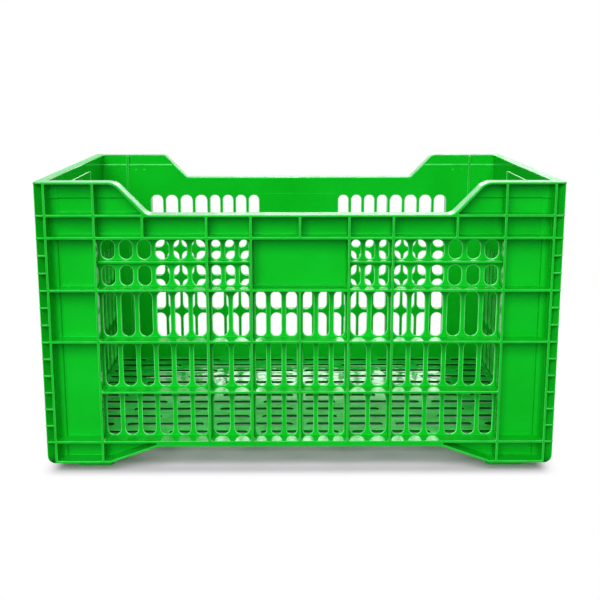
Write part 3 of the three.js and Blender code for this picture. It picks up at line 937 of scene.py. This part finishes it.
def rim():
    stations = []  # outer point, inner point and upward direction at each place along the rim

    def add(outer, inner, height, lean):
        up = Vector((lean.x, lean.y, math.sqrt(max(0, 1 - lean.length_squared))))
        stations.append((Vector((*outer, height)), Vector((*inner, height)), up))

    def corner(sx, sy, start):
        outer = Vector((sx * (half_length - corner_radius), sy * (half_width - corner_radius)))
        inset_x = side_rim_width + rim_inner_radius
        inset_y = rim_width + rim_inner_radius
        inner = Vector((sx * (half_length - inset_x), sy * (half_width - inset_y)))
        for a in angles(start, start + 90, arc_steps):
            direction = Vector((math.cos(a), math.sin(a)))
            outer_point = outer + direction * corner_radius
            inner_point = inner + direction * rim_inner_radius
            add(outer_point, inner_point, rim_top, Vector((0, 0)))

    def long_side(wall, sy, sx):
        line = rim_half(wall)
        if sx * sy > 0:
            line = line[::-1]
        for u, height, slope in line:
            lowered = (rim_top - height) / wall["depth"]
            width = rim_width + ledge_step * lowered
            inner_u = min(u, half_length - side_rim_width - rim_inner_radius)
            outer = Vector((sx * u, sy * half_width))
            inner = Vector((sx * inner_u, sy * (half_width - width)))
            add(outer, inner, height, Vector((-sx * math.sin(slope), 0)))

    long_side(front_wall, -1, 1)
    corner(1, -1, -90)
    corner(1, 1, 0)
    long_side(rear_wall, 1, 1)
    long_side(rear_wall, 1, -1)
    corner(-1, 1, 90)
    corner(-1, -1, 180)
    long_side(front_wall, -1, -1)

    body = Body(on_level)
    rings = []
    steepest = min(up.z for outer, inner, up in stations)
    quarter = angles(0, 90, round_steps)
    for outer, inner, up in stations:
        inward = (inner - outer).normalized()
        steep = (1 - up.z) / (1 - steepest)
        # Painted highlight on the rim: its upward-facing rounding takes it, most on the dips' slopes
        highlight_share = level_rim_highlight + (1 - level_rim_highlight) * steep
        edges = (
            (outer, inward, -1, quarter[::-1]),
            (outer, inward, 1, quarter),
            (inner, -inward, 1, quarter[::-1]),
            (inner, -inward, -1, quarter),
        )
        first = len(body.points)
        for base, into, lift, turn in edges:
            depth = rim_edge if lift > 0 else rim_thick - rim_edge
            middle = base + into * rim_edge - up * depth
            for a in turn:
                normal = up * lift * math.sin(a) - into * math.cos(a)
                body.points.append(middle + normal * rim_edge)
                body.normals.append(normal)
                body.edges.append(highlight_share * max(0, normal.dot(up)) ** 2)
        rings.append(list(range(first, len(body.points))))
    for before, after in zip(rings, rings[1:] + rings[:1]):
        body.bridge(after, before)
    sides = ("left_rim", "right_rim", "dip_rim")
    nodes = [f"{wall}_{side}" for wall in ("front", "rear") for side in sides]
    made = body.piece("rim", rim_green, "left_rim", "right_rim", *nodes)
    made.data.materials.append(side_rim_green)
    for face in made.data.polygons:
        if abs(face.center.x) > (half_length - side_rim_width) * MM and abs(face.normal.x) < ALONG:
            face.material_index = 1


rim()


# Corner posts with their rings, and stacking pads
def corner_post(name, sx, sy):
    inner_x = corner_rib
    inner_y = half_width - rib_depth - tuck
    body = Body(on_level)

    def section(groove, recess, radius, side_inset=0):
        outer_x = half_length - groove - side_inset
        recess = groove + (recess - groove) * (outer_x - inner_x) / (outer_x + side_inset - inner_x)
        plan = [
            (inner_x, inner_y),
            (outer_x, inner_y),
            (outer_x, half_width - groove),
            (inner_x, half_width - recess),
        ]
        plan = [(sx * x, sy * y) for x, y in plan]
        return rounded(plan if sx * sy > 0 else plan[::-1], radius)

    sections = []
    for a in angles(90, 0, arc_steps):
        rise = toe * (1 - math.sin(a))
        recess = post_groove + (post_recess - post_groove) * rise / toe
        plan = section(post_groove, recess, post_corner, toe * (1 - math.cos(a)))
        sections.append((plan, foot_level + rise, -a))
    sections.append((section(post_groove, post_recess, post_corner), rim_top - rim_tuck, 0))
    body.stack(sections)
    top_ring = rim_top - front_wall["depth"] - front_wall["top_band"]
    levels = rib_levels(front_wall["rows"], top_ring)
    pitch = (levels[1] - levels[0]) / rings_per_row
    count = round((top_ring - bottom_rib) / pitch)
    heights = [bottom_rib + (top_ring - bottom_rib) * step / count for step in range(count + 1)]
    heights.append(rim_top - front_wall["depth"] - rim_thick + half_rib)
    plan = section(0, 0, corner_radius)
    for height in heights:
        body.sheet(plan, [], height - ring_thick / 2, height + ring_thick / 2, ring_edge)
    body.piece(f"{name}_corner_post", green, f"{name}_corner_post")


def stacking_pad(name):
    low, high = node_box(f"{name}_stacking_pad")
    body = Body(on_level)
    plan = rounded(rectangle(low.x, high.x, low.y, high.y), pad_corner)
    body.loft([plan], cup_profile(low.z, floor_low.z + pad_tuck, pad_wall, pad_edge))
    body.piece(f"{name}_stacking_pad", green, f"{name}_stacking_pad")


for depth_name, sy in (("front", -1), ("rear", 1)):
    for side_name, sx in (("left", -1), ("right", 1)):
        corner_post(f"{depth_name}_{side_name}", sx, sy)
        stacking_pad(f"{depth_name}_{side_name}")


# Floor and label plate
def floor_grid():
    half_x = half_length - skin_in
    half_y = half_width - skin_in
    room = 2 * half_y - 2 * floor_margin - floor_slot_width
    rows = math.floor(room / floor_row_pitch) + 1
    pitch = floor_slot_length + floor_bar
    most = math.ceil(half_x / pitch)
    slots = []
    for row in range(rows):
        y = (row - (rows - 1) / 2) * floor_row_pitch
        shift = 0 if row % 2 == 0 else pitch / 2
        for column in range(-most, most + 1):
            middle = column * pitch + shift
            left = max(middle - floor_slot_length / 2, floor_margin - half_x)
            right = min(middle + floor_slot_length / 2, half_x - floor_margin)
            if right - left > floor_slot_width:
                slots.append(slot(left, right, y - floor_slot_width / 2, y + floor_slot_width / 2))
    body = Body(on_level, 0, slot_highlight)
    outline = rectangle(-half_x - tuck, half_x + tuck, -half_y - tuck, half_y + tuck)
    body.sheet(rounded(outline, sheet_corner), slots, floor_low.z, floor_high.z, floor_edge)
    made = body.piece("floor_grid", floor_green, "floor_grid")
    # Painted shade: the upright faces of the slots get a near-black green
    made.data.materials.append(shaded_green)
    for face in made.data.polygons:
        if abs(face.normal.z) < ALONG:
            face.material_index = 1


def label_plate():
    body = Body(on_wall(0))
    plan = rounded(rectangle(label_low.x, label_high.x, label_low.z, label_high.z), label_corner)
    body.sheet(plan, [], -label_high.y - tuck, -label_low.y, rib_edge)
    body.piece("front_label_plate", green, "front_label_plate")


floor_grid()
label_plate()


# Camera, for a square picture
camera_pitch = 77.6
camera_turn = -0.31
camera_data = bpy.data.cameras.new("camera")
camera_data.sensor_width = 36
camera_data.lens = 63.3
camera = bpy.data.objects.new("camera", camera_data)
camera.location = (-0.0058, -1.244, 0.4243)
camera.rotation_euler = Euler((math.radians(camera_pitch), 0, math.radians(camera_turn)))
bpy.context.scene.collection.objects.link(camera)
bpy.context.scene.camera = camera


# White ground and surroundings, in metres
ground_reach = 6
ground_roughness = 0.9
shadow_inset = 0.014  # how far inside the crate's box the ground begins to fade
shadow_fade = 0.026  # how long it fades
ground_near = (0.85, 0.72, 0.85, 1)  # evens out the green that the crate throws on the ground
ground_far = (0.25, 0.25, 0.25, 1)  # keeps the ground from lighting the crate from below
sky_light = (0.08, 0.5)  # strength at the horizon and overhead


def seen_rays(tree):
    """Output that is 1 for rays that show the background: camera, glossy and transmission rays."""
    path = tree.nodes.new("ShaderNodeLightPath")
    glossy = combine(tree, "MAXIMUM", path.outputs["Is Camera Ray"], path.outputs["Is Glossy Ray"])
    return combine(tree, "MAXIMUM", glossy, path.outputs["Is Transmission Ray"])


def ground():
    material = bpy.data.materials.new("ground")
    material.use_nodes = True
    tree = material.node_tree
    lit = tree.nodes["Principled BSDF"]
    lit.inputs["Roughness"].default_value = ground_roughness
    lit.inputs["Specular IOR Level"].default_value = 0
    white = tree.nodes.new("ShaderNodeEmission")

    # Away from the crate the ground fades to plain white where it is seen
    shadow_end = (cad_high.x - shadow_inset, cad_high.y - shadow_inset, 0)
    past = on_vector(tree, "SUBTRACT", on_vector(tree, "ABSOLUTE", object_place(tree)), shadow_end)
    distance = on_vector(tree, "LENGTH", on_vector(tree, "MAXIMUM", past), result="Value")
    tone = mix_colours(tree, remap(tree, distance, (shadow_fade, 2 * shadow_fade), (0, 1)))
    tone.inputs["Color1"].default_value = ground_near
    tone.inputs["Color2"].default_value = ground_far
    tree.links.new(tone.outputs["Color"], lit.inputs["Base Color"])
    fade = remap(tree, distance, (0, shadow_fade), (0, 1), "SMOOTHSTEP")
    share = combine(tree, "MULTIPLY", fade, seen_rays(tree))
    tree.links.new(mix_shaders(tree, share, lit, white), tree.nodes["Material Output"].inputs["Surface"])

    mesh = bpy.data.meshes.new("ground")
    corners = [(u, v, 0) for u, v in rectangle(-ground_reach, ground_reach, -ground_reach, ground_reach)]
    mesh.from_pydata(corners, [], [(0, 1, 2, 3)])
    mesh.materials.append(material)
    floor = bpy.data.objects.new("ground", mesh)
    bpy.context.scene.collection.objects.link(floor)


def surroundings():
    world = bpy.data.worlds.new("surroundings")
    bpy.context.scene.world = world
    world.use_nodes = True
    tree = world.node_tree
    light = tree.nodes["Background"]
    seen = tree.nodes.new("ShaderNodeBackground")
    for background in (light, seen):
        background.inputs["Color"].default_value = (1, 1, 1, 1)
    axes = tree.nodes.new("ShaderNodeSeparateXYZ")
    tree.links.new(tree.nodes.new("ShaderNodeTexCoord").outputs["Generated"], axes.inputs[0])
    tree.links.new(remap(tree, axes.outputs["Z"], (0, 1), sky_light), light.inputs["Strength"])
    surface = tree.nodes["World Output"].inputs["Surface"]
    tree.links.new(mix_shaders(tree, seen_rays(tree), light, seen), surface)


def lamp(name, location, size, watts):
    target = Vector((0, 0, 0.15))
    data = bpy.data.lights.new(name, "AREA")
    data.size = size
    data.energy = watts
    made = bpy.data.objects.new(name, data)
    made.location = location
    made.rotation_euler = (target - Vector(location)).to_track_quat("-Z", "Y").to_euler()
    bpy.context.scene.collection.objects.link(made)


ground()
surroundings()
lamp("key", location=(-0.75, -4.3, 2.6), size=3.5, watts=285)
lamp("back", location=(0.8, 3.9, 2.5), size=2.8, watts=95)
lamp("top", location=(0.2, 0.1, 2.2), size=1.8, watts=6)

bpy.context.scene.view_settings.view_transform = "Standard"
